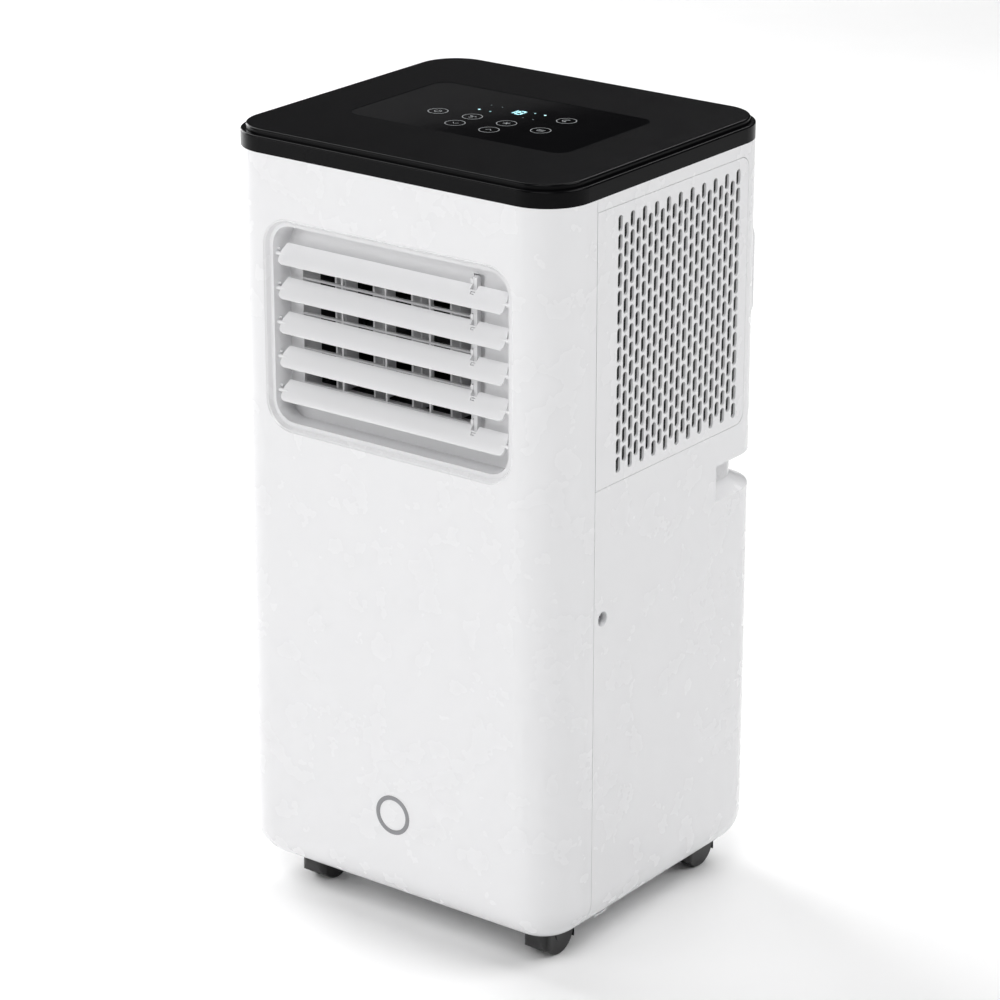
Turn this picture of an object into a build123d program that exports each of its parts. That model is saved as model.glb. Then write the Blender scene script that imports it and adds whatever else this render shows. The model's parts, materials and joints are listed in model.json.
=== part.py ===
from build123d import *
import math
import os

# Portable air conditioner, millimetres, +Z up. The front (air outlet) faces -Y and the intake grille +X.
# Everything is laid out about the casing's middle with the floor at z = 0, and is moved by CENTRE_SHIFT on
# export, so that the origin is the middle of the whole machine's footprint.

# Casing
WIDTH = 300.0
DEPTH = 266.0
CORNER_R = 35.6
WALL = 2.5
BODY_BOTTOM = 22.4
BODY_TOP = 582.0
BOTTOM_FILLET = 28.0
SIDE_X = WIDTH / 2
FRONT_Y = -DEPTH / 2
REAR_Y = DEPTH / 2
SEAM_Y = -87.0
SEAM_GAP = 0.5
LIP_INSET = 0.15
LIP_THICK = 1.5
LIP_BOTTOM = 62.0
LIP_RANGE = (SEAM_Y - 5.0, SEAM_Y + 7.0)

# Top
RIM_TOP = 594.0
RIM_SHELF = 590.0
RIM_INSET = 3.4
RIM_WIDTH = 11.0
COVER_INSET = 3.9
COVER_TOP = 598.0
COVER_EDGE_R = 1.4
RIM_EDGE_R = 1.2
GLASS_X = (-98.0, 96.0)
GLASS_Y = (-55.0, 60.0)
GLASS_R = 12.0
GLASS_THICK = 1.2
GLASS_GAP = 0.25
GLASS_TOP = COVER_TOP - 0.2
DISPLAY_X = (-32.0, 34.0)
DISPLAY_Y = (2.0, 38.0)
BOARD_X = (-78.0, 76.0)
BOARD_Y = (-44.0, 46.0)
BOARD_Z = (582.4, 584.0)

# Outlet recess in the front panel, and the frame that lines it
RECESS_X = 111.0
RECESS_Z = (376.5, 536.0)
RECESS_R = 22.0
STEP_Y = -129.2
STEP_DRAFT = 2.3
MOUTH_EASE = 0.8
LAND_X = 105.7
LAND_Z = (382.3, 530.7)
LAND_R = 16.5
BACK_Y = -114.5
BACK_X = 102.4
BACK_Z = (382.6, 527.5)
PLATE_THICK = 2.5
FRAME_WALL_X = 110.0
WINDOW_X = (-90.5, 62.0)
WINDOW_Z = (404.0, 511.0)
WINDOW_R = 5.0
SLEEVE_REAR_Y = -80.0
SLEEVE_WALL = 3.0
CHANNEL_X = (64.6, 73.8)
CHANNEL_Z = (396.0, 521.0)
CHANNEL_DEPTH = 4.6
GUARD_BAR_X = (-54.4, -14.7, 25.1)
GUARD_BAR_Z = (489.4, 463.0, 436.5, 410.1)
GUARD_BAR_WIDTH = 1.5
GUARD_DEPTH = 2.4

# Horizontal louvres and their link
LOUVRE_COUNT = 5
LOUVRE_PITCH = 25.9
LOUVRE_Y = -125.5
LOUVRE_TOP_Z = 507.5
LOUVRE_HALF = 101.3
LOUVRE_TILT = 51.5
LOUVRE_FRONT = 7.6
LOUVRE_REAR = 9.2
LOUVRE_THICK = 1.6
LOUVRE_CROWN = 1.1
LOUVRE_CORNER_R = 4.0
TAPER_FROM = 2.5
TAPER_BY = 2.0
NUB_X = (-105.4, -102.6)
NUB_R = 1.0
NUB_ALONG = 1.3
NUB_UP = 3.3
PIVOT_R = 1.5
RUN_CLEARANCE = 0.05
CLIP_ALONG = 8.0
CLIP_BEHIND = 4.0
CLIP_PIN_R = 1.1
CLIP_PIN_CLEARANCE = 0.1
LINK_X = (68.0, 71.2)
LINK_TOP_Z = 521.0
LINK_HALF_WIDTH = 2.2
EAR_X = (65.2, 67.6)
EAR_R = 1.9
CLIP_PIN_END = 72.0
NOTCH_X = (67.6, 73.4)
NOTCH_DEPTH = 4.2
CATCH_Y = (6.0, 9.6)
CATCH_Z = (5.0, 11.2)
SLOT_ARM_REAR = ((69.4, 73.0), (3.2, 3.9))
SLOT_ARM_FRONT = ((69.2, 72.5), (1.5, 2.1))
SLOT_STEM = ((69.2, 69.9), (1.5, 3.9))

# Upright vanes behind the guard
VANE_COUNT = 4
VANE_PITCH = 34.8
VANE_FIRST_X = -64.0
VANE_Y = -99.5
VANE_FRONT = 10.0
VANE_REAR = 14.0
VANE_THICK = 1.6
VANE_PIN_R = 1.5
VANE_LINK_BACK = 11.0
VANE_LINK_THICK = 2.2

# Side intake grille (its filter is clipped behind it)
GRILLE_Y = (-86.5, 100.0)
GRILLE_Z = (369.5, 572.5)
GRILLE_R = 9.0
GRILLE_THICK = 2.0
GRILLE_GAP = 0.35
LEDGE_WIDTH = 6.0
LEDGE_THICK = 1.8
SLOT_COLUMNS = 21
SLOT_PITCH_Y = 7.32
SLOT_FIRST_Y = -59.6
SLOT_WIDTH = 5.4
SLOT_LENGTH = 11.8
SLOT_PITCH_Z = 13.63
SLOT_MID_Z = 470.6
SLOT_ROWS = 14

# Rear: exhaust flange, lower intake grille, drain spout and cord gland
BOSS_OUT = 30.0
BOSS_X = 117.0
BOSS_Z = (425.5, 505.5)
BOSS_R = 14.0
BOSS_WALL = 4.0
REAR_GRILLE_X = 104.0
REAR_GRILLE_Z = (64.0, 306.0)
REAR_SLOT_PITCH = 11.0
SPOUT_X = 92.0
SPOUT_Z = 361.0
SPOUT_R = 7.0
SPOUT_BORE_R = 4.5
SPOUT_NECK_R = 6.0
SPOUT_LENGTH = 16.0
GLAND_X = -126.0
GLAND_Z = 96.0
GLAND_R = 8.0

# Sides: carrying recesses, recessed screws, strap loops
HANDLE_Y = 66.0
HANDLE_X = 104.0
HANDLE_Z = (316.0, 344.0)
HANDLE_DEPTH = 14.0
HANDLE_SLOPE = 7.0
SCREW_Y = -76.3
SCREW_Z = 270.0
SCREW_HOLE_R = 5.5
SCREW_HEAD_R = 4.2
SCREW_SHANK_R = 1.8
SCREW_CUP_DEPTH = 6.5
LOOP_Y = (-51.3, -36.0)
LOOP_X = (125.6, 128.0)
LOOP_Z = (16.1, 24.5)
LOOP_BAR = 1.5
LOOP_R = 2.0

# Base tray and casters
TRAY_X = 121.0
TRAY_Y = 104.0
TRAY_CORNER_R = 20.0
TRAY_THICK = 2.5
PAN_X = 62.0
PAN_Y = 100.0
PAN_Z = 14.0
CASTER_LEFT_X = -98.3
CASTER_RIGHT_X = 113.5
AXLE_Z = 17.0
WHEEL_R = 17.0
FRONT_AXLE_Y = -88.5
REAR_AXLE_Y = 96.0
TRAIL = 2.0
WELL_R = 23.3
WELL_TOP = 37.5
WELL_LIMIT_X = 136.8
WELL_LIMIT_Y = 117.6
STEM_R = 3.5
STEM_TOP = 57.0
HOOD_R = 19.7
HOOD_INNER_R = 17.7
HOOD_WIDTH = 22.8
HOOD_PLAN_R = 6.5
HOOD_BOTTOM = 8.7
CHEEK_THICK = 1.2
CHEEK_BACK = -8.5
WEB_HALF = 2.2
WHEEL_IN = 2.6
WHEEL_OUT = 9.9
WHEEL_EDGE_R = 1.2
HUB_R = 6.0
HUB_OUT = 0.6
AXLE_R = 2.0

# Badge
BADGE_X = 1.8
BADGE_Z = 95.0
BADGE_R = 15.5
BADGE_RING = 3.4
BADGE_OUT = 0.6

# Machinery inside
EVAP_FAN_YZ = (0.0, 460.0)
EVAP_WHEEL_X = (-84.0, 56.0)
EVAP_WHEEL_R = 58.0
EVAP_SCROLL_R = 72.0
COND_FAN_XZ = (-45.0, 190.0)
COND_WHEEL_Y = (56.0, 92.0)
COND_WHEEL_R = 60.0
COND_SCROLL_R = 70.0
SCROLL_WALL = 2.0
BLADE_COUNT = 30
SHAFT_R = 4.0
MOTOR_R = 36.0
COMPRESSOR_XY = (60.0, -30.0)
COMPRESSOR_R = 50.0
COMPRESSOR_Z = (44.0, 244.0)
FOOT_R = 6.5
PIPE_R = 3.2
PAN_REAR_Y = 104.0

CENTRE_SHIFT = Pos(0, -BOSS_OUT / 2, 0)
PARTS = {}


def span(x, y, z):
    """Box between a low and a high limit on each axis."""
    middle = [(low + high) / 2 for low, high in (x, y, z)]
    size = [high - low for low, high in (x, y, z)]
    return Pos(*middle) * Box(*size)


def rod(axis, centre, radius, limits):
    """Round bar along an axis; centre holds the other two coordinates in X, Y, Z order."""
    low, high = limits
    middle = (low + high) / 2
    bar = Cylinder(radius, high - low)
    if axis == "x":
        return Pos(middle, *centre) * Rot(0, 90, 0) * bar
    if axis == "y":
        return Pos(centre[0], middle, centre[1]) * Rot(90, 0, 0) * bar
    return Pos(*centre, middle) * bar


def front_plane(y):
    """Plane facing the front, with its own x along X and its own y along Z."""
    return Plane(origin=(0, y, 0), x_dir=(1, 0, 0), z_dir=(0, -1, 0))


def side_plane(x):
    """Plane facing +X, with its own x along Y and its own y along Z."""
    return Plane(origin=(x, 0, 0), x_dir=(0, 1, 0), z_dir=(1, 0, 0))


def rounded(plane, across, up, radius):
    """Rounded rectangle drawn on a plane between two limits each way."""
    shape = RectangleRounded(across[1] - across[0], up[1] - up[0], radius)
    return plane * Pos((across[0] + across[1]) / 2, (up[0] + up[1]) / 2) * shape


def front_block(x, z, radius, y):
    """Rounded prism through the front or the rear, between two limits in Y."""
    return extrude(rounded(front_plane(y[1]), x, z, radius), y[1] - y[0])


def side_block(y, z, radius, x):
    """Rounded prism through a side, between two limits in X."""
    return extrude(rounded(side_plane(x[0]), y, z, radius), x[1] - x[0])


def plan_block(inset, z):
    """Prism of the casing's outline, inset all round, between two heights."""
    outline = RectangleRounded(WIDTH - 2 * inset, DEPTH - 2 * inset, CORNER_R - inset)
    return Pos(0, 0, z[0]) * extrude(outline, z[1] - z[0])


def plan_taper(insets, z):
    """Tapered prism whose inset runs from the first value at the bottom to the second at the top."""
    sections = []
    for inset, height in zip(insets, z):
        outline = RectangleRounded(WIDTH - 2 * inset, DEPTH - 2 * inset, CORNER_R - inset)
        sections.append(Pos(0, 0, height) * outline)
    return loft(sections)


def casing_volume(inset):
    """The casing's outside, inset all round, with its rounded bottom edge."""
    block = plan_block(inset, (BODY_BOTTOM + inset, BODY_TOP))
    bottom = block.faces().sort_by(Axis.Z)[0]
    return fillet(bottom.edges(), BOTTOM_FILLET - inset)


def mirrored(shape):
    """A shape and its mirror image in the middle plane X = 0."""
    return shape + mirror(shape, Plane.YZ)


OUTSIDE = casing_volume(0)
INSIDE = casing_volume(WALL)
SHELL = OUTSIDE - INSIDE
BEHIND_SEAM = span((-200, 200), (SEAM_Y + SEAM_GAP / 2, 200), (0, 700))
BEFORE_SEAM = span((-200, 200), (-200, SEAM_Y - SEAM_GAP / 2), (0, 700))


def caster_places():
    """Name, X of the caster and Y of its axle."""
    for end, axle_y in (("front", FRONT_AXLE_Y), ("rear", REAR_AXLE_Y)):
        for side, x in (("left", CASTER_LEFT_X), ("right", CASTER_RIGHT_X)):
            yield f"{end}_{side}", x, axle_y


def caster_wells():
    """Round wells that the caster hoods turn in, kept behind the casing's lower edge."""
    wells = Part()
    for name, x, axle_y in caster_places():
        wells += rod("z", (x, axle_y - TRAIL), WELL_R, (0, WELL_TOP))
    limits = span((-WELL_LIMIT_X, WELL_LIMIT_X), (-WELL_LIMIT_Y, WELL_LIMIT_Y), (0, WELL_TOP))
    return wells & limits


WELLS = caster_wells()
PAN_OPENING = span((-PAN_X - 1, PAN_X + 1), (-PAN_Y - 1, PAN_Y + 1), (0, BODY_BOTTOM + WALL + 1))


def recess_cut():
    """Drafted step from the front face down to the frame's land, with an eased edge at its mouth."""
    low, high = RECESS_Z
    ease_x = RECESS_X + MOUTH_EASE
    ease_z = (low - MOUTH_EASE, high + MOUTH_EASE)
    eased = rounded(front_plane(FRONT_Y), (-ease_x, ease_x), ease_z, RECESS_R + MOUTH_EASE)
    throat = rounded(front_plane(FRONT_Y + MOUTH_EASE), (-RECESS_X, RECESS_X), RECESS_Z, RECESS_R)
    outer = rounded(front_plane(FRONT_Y - 1), (-ease_x, ease_x), ease_z, RECESS_R + MOUTH_EASE)
    mouth = rounded(front_plane(FRONT_Y), (-RECESS_X, RECESS_X), RECESS_Z, RECESS_R)
    inner_x = RECESS_X - STEP_DRAFT
    inner_z = (low + STEP_DRAFT, high - STEP_DRAFT)
    inner = rounded(front_plane(STEP_Y), (-inner_x, inner_x), inner_z, RECESS_R - STEP_DRAFT)
    return loft([inner, mouth]) + loft([throat, eased]) + extrude(outer, -1)


def front_panel():
    """Front shell with the return round the outlet recess and a shallow seat for the badge."""
    panel = SHELL & BEFORE_SEAM
    low, high = RECESS_Z
    ring_x = RECESS_X + 3
    panel += front_block((-ring_x, ring_x), (low - 3, high + 3), RECESS_R + 2, (FRONT_Y + 0.5, STEP_Y))
    panel -= recess_cut()
    panel -= WELLS + PAN_OPENING
    badge_seat = rod("y", (BADGE_X, BADGE_Z), BADGE_R, (FRONT_Y - 1, FRONT_Y + BADGE_OUT))
    badge_core = rod("y", (BADGE_X, BADGE_Z), BADGE_R - BADGE_RING, (FRONT_Y - 1, FRONT_Y + BADGE_OUT))
    return panel - (badge_seat - badge_core)


def seam_lip():
    """Inner lip of the rear casing that laps behind the front panel's edge."""
    height = (LIP_BOTTOM, BODY_TOP)
    rear_root = plan_block(WALL - 0.4, height) - plan_block(WALL + LIP_THICK, height)
    tongue = plan_block(WALL + LIP_INSET, height) - plan_block(WALL + LIP_THICK, height)
    root_range = span((-200, 200), (SEAM_Y + SEAM_GAP / 2, LIP_RANGE[1]), height)
    tongue_range = span((-200, 200), (LIP_RANGE[0], SEAM_Y + SEAM_GAP), height)
    return (rear_root & root_range) + (tongue & tongue_range)


def handle_recess(depth, z, slope):
    """Carrying recess that wraps round both rear corners, with a sloped lower lip."""
    low, high = z
    core = plan_block(depth, (low + slope, high)) + plan_taper((0.3, depth), (low, low + slope))
    band = plan_block(-4, z) - core
    right = span((HANDLE_X, 200), (HANDLE_Y, 200), z)
    left = span((-200, -HANDLE_X), (HANDLE_Y, 200), z)
    return band & (right + left)


def handle_cup():
    """Solid material that the carrying recesses are sunk into."""
    low, high = HANDLE_Z
    z = (low - WALL, high + WALL)
    band = plan_block(0, z) - plan_block(HANDLE_DEPTH + WALL, z)
    right = span((HANDLE_X - WALL, 200), (HANDLE_Y - WALL, 200), z)
    left = span((-200, -HANDLE_X + WALL), (HANDLE_Y - WALL, 200), z)
    return band & (right + left)


def strap_loop():
    """Small open loop moulded under the casing's side edge, square at its lower front corner."""
    y_low, y_high = LOOP_Y
    z_low, z_high = LOOP_Z
    outer = side_block(LOOP_Y, LOOP_Z, LOOP_R, LOOP_X)
    outer += span(LOOP_X, (y_low, y_low + LOOP_R), (z_low, z_low + LOOP_R))
    inner_y = (y_low + LOOP_BAR, y_high - LOOP_BAR)
    inner = side_block(inner_y, (z_low + LOOP_BAR, z_high - LOOP_BAR), 1.2, LOOP_X)
    return mirrored(outer - inner)


def screw_cup():
    """Cup behind each side wall that takes the recessed screw."""
    cup = rod("x", (SCREW_Y, SCREW_Z), SCREW_HOLE_R + 2, (SIDE_X - SCREW_CUP_DEPTH - 2, SIDE_X - 1))
    return mirrored(cup)


def screw_hole():
    """The recess for the head and the hole for the shank."""
    head = rod("x", (SCREW_Y, SCREW_Z), SCREW_HOLE_R, (SIDE_X - SCREW_CUP_DEPTH, SIDE_X + 1))
    shank = rod("x", (SCREW_Y, SCREW_Z), SCREW_SHANK_R, (SIDE_X - 20, SIDE_X))
    return mirrored(head + shank)


def grille_seat():
    """Ledge behind the side grille."""
    y = (GRILLE_Y[0], GRILLE_Y[1] + LEDGE_WIDTH)
    z = (GRILLE_Z[0] - LEDGE_WIDTH, GRILLE_Z[1] + 4)
    back = SIDE_X - GRILLE_THICK - LEDGE_THICK
    return span((back, SIDE_X - 1), y, z) & OUTSIDE


def grille_opening():
    """Pocket for the side grille and the air window inside its ledge."""
    y_low, y_high = GRILLE_Y
    z_low, z_high = GRILLE_Z
    x = (SIDE_X - GRILLE_THICK - 0.05, SIDE_X + 1)
    pocket = side_block((y_low - 8, y_high + GRILLE_GAP), (z_low - GRILLE_GAP, z_high + GRILLE_GAP),
                        GRILLE_R, x)
    window_y = (LIP_RANGE[1] + 1, y_high - LEDGE_WIDTH)
    window_z = (z_low + LEDGE_WIDTH, z_high - LEDGE_WIDTH)
    window = side_block(window_y, window_z, GRILLE_R, (SIDE_X - 12, SIDE_X + 1))
    return pocket + window


def rear_openings():
    """Openings in the back wall for the exhaust, the lower grille, the spout and the cord gland."""
    y = (REAR_Y - 10, REAR_Y + 1)
    low, high = BOSS_Z
    mouth_x = BOSS_X - BOSS_WALL - 2
    exhaust = front_block((-mouth_x, mouth_x), (low + 6, high - 6), BOSS_R - 6, y)
    grille = front_block((-REAR_GRILLE_X, REAR_GRILLE_X), REAR_GRILLE_Z, 8, y)
    spout = rod("y", (SPOUT_X, SPOUT_Z), SPOUT_NECK_R, y)
    gland = rod("y", (GLAND_X, GLAND_Z), GLAND_R - 2, (y[0] - 20, y[1]))
    return exhaust + grille + spout + gland


def rear_casing():
    """Sides and back in one shell, with the lip, the carrying recesses and the strap loops."""
    casing = SHELL & BEHIND_SEAM
    casing += seam_lip() + handle_cup() + screw_cup() + grille_seat()
    casing -= grille_opening() + screw_hole() + rear_openings()
    casing -= handle_recess(HANDLE_DEPTH, HANDLE_Z, HANDLE_SLOPE)
    casing -= WELLS + PAN_OPENING
    casing += strap_loop()
    return casing


def base_tray():
    """Floor of the machine: a flange on the casing, a sunk pan, caster cups and stem sockets."""
    floor = BODY_BOTTOM + WALL
    top = floor + TRAY_THICK
    plate = RectangleRounded(2 * TRAY_X, 2 * TRAY_Y, TRAY_CORNER_R)
    tray = Pos(0, 0, floor) * extrude(plate, TRAY_THICK)
    pan = Pos(0, 0, PAN_Z) * extrude(RectangleRounded(2 * PAN_X, 2 * PAN_Y, 8), top - PAN_Z)
    hollow = RectangleRounded(2 * (PAN_X - TRAY_THICK), 2 * (PAN_Y - TRAY_THICK), 6)
    tray += pan
    tray -= Pos(0, 0, PAN_Z + TRAY_THICK) * extrude(hollow, 40)
    for name, x, axle_y in caster_places():
        stem = (x, axle_y - TRAIL)
        tray += rod("z", stem, WELL_R + 2.5, (floor, WELL_TOP + 2.5)) & casing_volume(WALL + 0.1)
        tray += rod("z", stem, STEM_R + 4.5, (WELL_TOP, STEM_TOP + 2))
    tray -= caster_wells()
    for name, x, axle_y in caster_places():
        tray -= rod("z", (x, axle_y - TRAIL), STEM_R + RUN_CLEARANCE, (0, STEM_TOP + 1))
    return tray


def top_rim():
    """Glossy rim on top of both shells, with an inner shelf for the cover."""
    rim = plan_block(0, (BODY_TOP, RIM_TOP))
    rim = fillet(rim.faces().sort_by(Axis.Z)[-1].edges(), RIM_EDGE_R)
    rim -= plan_block(RIM_INSET, (RIM_SHELF, RIM_TOP))
    rim -= plan_block(RIM_WIDTH, (BODY_TOP, RIM_TOP))
    skirt = (BODY_TOP - 6, BODY_TOP)
    inset = WALL + LIP_THICK + 0.2
    return rim + (plan_block(inset, skirt) - plan_block(inset + 2, skirt))


def top_cover():
    """Cover plate with a seat for the control glass and a window for the display."""
    cover = plan_block(COVER_INSET, (RIM_SHELF, COVER_TOP))
    cover = fillet(cover.faces().sort_by(Axis.Z)[-1].edges(), COVER_EDGE_R)
    cover -= plan_block(RIM_WIDTH + 3, (RIM_SHELF, COVER_TOP - 4))
    x = (GLASS_X[0] - GLASS_GAP, GLASS_X[1] + GLASS_GAP)
    y = (GLASS_Y[0] - GLASS_GAP, GLASS_Y[1] + GLASS_GAP)
    seat = extrude(rounded(Plane.XY, x, y, GLASS_R + GLASS_GAP), 5)
    cover -= Pos(0, 0, GLASS_TOP - GLASS_THICK) * seat
    window_x = (DISPLAY_X[0] - 1, DISPLAY_X[1] + 1)
    window_y = (DISPLAY_Y[0] - 1, DISPLAY_Y[1] + 1)
    return cover - span(window_x, window_y, (RIM_SHELF, COVER_TOP))


def control_glass():
    """Touch glass, set just below the cover's surface."""
    outline = rounded(Plane.XY, GLASS_X, GLASS_Y, GLASS_R)
    return Pos(0, 0, GLASS_TOP - GLASS_THICK) * extrude(outline, GLASS_THICK)


def control_board():
    """Circuit board under the cover, on four posts."""
    board = span(BOARD_X, BOARD_Y, BOARD_Z)
    for x in (BOARD_X[0] + 6, BOARD_X[1] - 6):
        for y in (BOARD_Y[0] + 6, BOARD_Y[1] - 6):
            board += rod("z", (x, y), 3, (BOARD_Z[1], COVER_TOP - 4))
    for x in (-60, -44, 44, 58):
        board += span((x - 4, x + 4), (-20, -12), (BOARD_Z[1], BOARD_Z[1] + 3))
    return board


def display_module():
    """Light box of the two-digit display, standing on the board."""
    top = GLASS_TOP - GLASS_THICK
    box = span(DISPLAY_X, DISPLAY_Y, (BOARD_Z[1], top - 0.3))
    return fillet(box.edges().filter_by(Axis.Z), 2)


def outlet_frame():
    """Lining of the recess: land, drafted walls, back wall, link channel and the sleeve to the fan."""
    flange_x = RECESS_X + 3
    flange_z = (RECESS_Z[0] - 3, RECESS_Z[1] + 3)
    plate_y = BACK_Y + PLATE_THICK
    wall_z = (LAND_Z[0] - 3, LAND_Z[1] + 3)
    frame = front_block((-flange_x, flange_x), flange_z, RECESS_R, (STEP_Y, STEP_Y + 2))
    frame += front_block((-FRAME_WALL_X, FRAME_WALL_X), wall_z, LAND_R, (STEP_Y, plate_y))
    mouth = rounded(front_plane(STEP_Y), (-LAND_X, LAND_X), LAND_Z, LAND_R)
    back = rounded(front_plane(BACK_Y), (-BACK_X, BACK_X), BACK_Z, LAND_R - 3)
    frame -= loft([back, mouth])
    sleeve_x = (WINDOW_X[0] - SLEEVE_WALL, WINDOW_X[1] + SLEEVE_WALL)
    sleeve_z = (WINDOW_Z[0] - SLEEVE_WALL, WINDOW_Z[1] + SLEEVE_WALL)
    frame += span(sleeve_x, (plate_y - 1, SLEEVE_REAR_Y), sleeve_z)
    channel_x = (WINDOW_X[1], CHANNEL_X[1] + 2.5)
    frame += span(channel_x, (BACK_Y, BACK_Y + CHANNEL_DEPTH + 2), (CHANNEL_Z[0] - 2, CHANNEL_Z[1] + 2))
    frame -= span(CHANNEL_X, (BACK_Y - 1, BACK_Y + CHANNEL_DEPTH), CHANNEL_Z)
    frame -= front_block(WINDOW_X, WINDOW_Z, WINDOW_R, (BACK_Y - 1, plate_y))
    frame -= span(WINDOW_X, (plate_y, SLEEVE_REAR_Y + 1), WINDOW_Z)
    for index in range(LOUVRE_COUNT):
        centre = (LOUVRE_Y, louvre_z(index))
        frame -= rod("x", centre, PIVOT_R + RUN_CLEARANCE, (-FRAME_WALL_X - 1, FRAME_WALL_X + 1))
        frame += louvre_nub(index)
    for index in range(VANE_COUNT):
        frame -= rod("z", (vane_x(index), VANE_Y), VANE_PIN_R + RUN_CLEARANCE, (390, 530))
    return frame


def louvre_nub(index):
    """Small round nub on the left wall of the recess, beside the blade's end."""
    centre = (LOUVRE_Y + NUB_ALONG, louvre_z(index) + NUB_UP)
    return rod("x", centre, NUB_R, NUB_X)


def outlet_guard():
    """Finger guard across the outlet window."""
    y = (BACK_Y + 0.2, BACK_Y + 0.2 + GUARD_DEPTH)
    bars = Part()
    for x in GUARD_BAR_X:
        bars += span((x - GUARD_BAR_WIDTH / 2, x + GUARD_BAR_WIDTH / 2), y, WINDOW_Z)
    for z in GUARD_BAR_Z:
        bars += span(WINDOW_X, y, (z - GUARD_BAR_WIDTH, z))
    return bars


def louvre_z(index):
    """Height of a blade's pivot, counted from the top."""
    return LOUVRE_TOP_Z - index * LOUVRE_PITCH


def blade_frame(index):
    """Blade's own axes on its pivot: x along X, y rearwards and up the chord, z out of the visible face."""
    tilt = math.radians(LOUVRE_TILT)
    out = (0, -math.sin(tilt), math.cos(tilt))
    return Plane(origin=(0, LOUVRE_Y, louvre_z(index)), x_dir=(1, 0, 0), z_dir=out)


def louvre_outline():
    """Blade seen square on: round front corners, and ends that draw in towards the rear edge."""
    rear_x = LOUVRE_HALF - TAPER_BY
    points = [(-LOUVRE_HALF, -LOUVRE_FRONT), (LOUVRE_HALF, -LOUVRE_FRONT), (LOUVRE_HALF, TAPER_FROM),
              (rear_x, LOUVRE_REAR), (-rear_x, LOUVRE_REAR), (-LOUVRE_HALF, TAPER_FROM)]
    outline = make_face(Polyline(*points, close=True))
    return fillet(outline.vertices().sort_by(Axis.Y)[:2], LOUVRE_CORNER_R)


def louvre(index):
    """One crowned blade with end pins, and a notch with an ear, a pin and a catch for the link."""
    plane = blade_frame(index)
    section_plane = Plane(origin=(-LOUVRE_HALF, 0, 0), x_dir=(0, 1, 0), z_dir=(1, 0, 0))
    half = LOUVRE_THICK / 2
    front = (-LOUVRE_FRONT, 0)
    rear = (LOUVRE_REAR, 0)
    top = ThreePointArc((front[0], -0.3 + half), (0, LOUVRE_CROWN + half - 0.6), (rear[0], -0.3 + half))
    low = ThreePointArc((rear[0], -0.3 - half), (0, LOUVRE_CROWN - half - 0.6), (front[0], -0.3 - half))
    edges = [top, Line(top @ 1, low @ 0), low, Line(low @ 1, top @ 0)]
    blade = extrude(section_plane * make_face(edges), 2 * LOUVRE_HALF)
    blade &= Pos(0, 0, -5) * extrude(louvre_outline(), 10)
    blade -= span(NOTCH_X, (LOUVRE_REAR - NOTCH_DEPTH, LOUVRE_REAR + 1), (-5, 5))
    for across, along in (SLOT_ARM_REAR, SLOT_ARM_FRONT, SLOT_STEM):
        blade -= span(across, along, (-5, 5))
    blade += span(EAR_X, (CLIP_ALONG - 2, LOUVRE_REAR), (-CLIP_BEHIND, 0))
    blade += rod("x", (CLIP_ALONG, -CLIP_BEHIND), EAR_R, EAR_X)
    blade += rod("x", (CLIP_ALONG, -CLIP_BEHIND), CLIP_PIN_R, (EAR_X[0], CLIP_PIN_END))
    blade += rod("x", (0, 0), PIVOT_R, (-FRAME_WALL_X + 0.5, -LOUVRE_HALF + 4))
    blade += rod("x", (0, 0), PIVOT_R, (LOUVRE_HALF - 4, FRAME_WALL_X - 0.5))
    catch_y = [LOUVRE_Y + offset for offset in CATCH_Y]
    catch_z = [louvre_z(index) + offset for offset in CATCH_Z]
    return plane.location * blade + span(EAR_X, catch_y, catch_z)


def clip_centre(index):
    """Y and Z of a blade's clip pin at rest."""
    tilt = math.radians(LOUVRE_TILT)
    y = LOUVRE_Y + CLIP_ALONG * math.cos(tilt) + CLIP_BEHIND * math.sin(tilt)
    z = louvre_z(index) + CLIP_ALONG * math.sin(tilt) - CLIP_BEHIND * math.cos(tilt)
    return y, z


def louvre_link():
    """Upright bar that the five clips turn on, so that the blades move together."""
    y = clip_centre(0)[0]
    bottom = clip_centre(LOUVRE_COUNT - 1)[1]
    width = (y - LINK_HALF_WIDTH, y + LINK_HALF_WIDTH)
    link = side_block(width, (bottom - 2.6, LINK_TOP_Z), 2.1, LINK_X)
    for index in range(LOUVRE_COUNT):
        clearance = RUN_CLEARANCE if index == 0 else CLIP_PIN_CLEARANCE
        link -= rod("x", clip_centre(index), CLIP_PIN_R + clearance, (60, 80))
    return link


def vane_x(index):
    """X of an upright vane's pivot."""
    return VANE_FIRST_X + index * VANE_PITCH


def vane(index):
    """Upright vane with pins above and below and a drive pin on its rear edge."""
    x = vane_x(index)
    low = WINDOW_Z[0] + 0.6
    high = WINDOW_Z[1] - 0.6
    step = high - 6.0
    half = VANE_THICK / 2
    blade = span((x - half, x + half), (VANE_Y - VANE_FRONT, VANE_Y + 5), (low, high))
    blade += span((x - half, x + half), (VANE_Y + 4, VANE_Y + VANE_REAR), (low, step))
    blade += rod("z", (x, VANE_Y), VANE_PIN_R, (WINDOW_Z[0] - 2.6, WINDOW_Z[1] + 2.6))
    blade += rod("z", (x, VANE_Y + VANE_LINK_BACK), CLIP_PIN_R, (step - 4, high - 0.8))
    return blade


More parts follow.
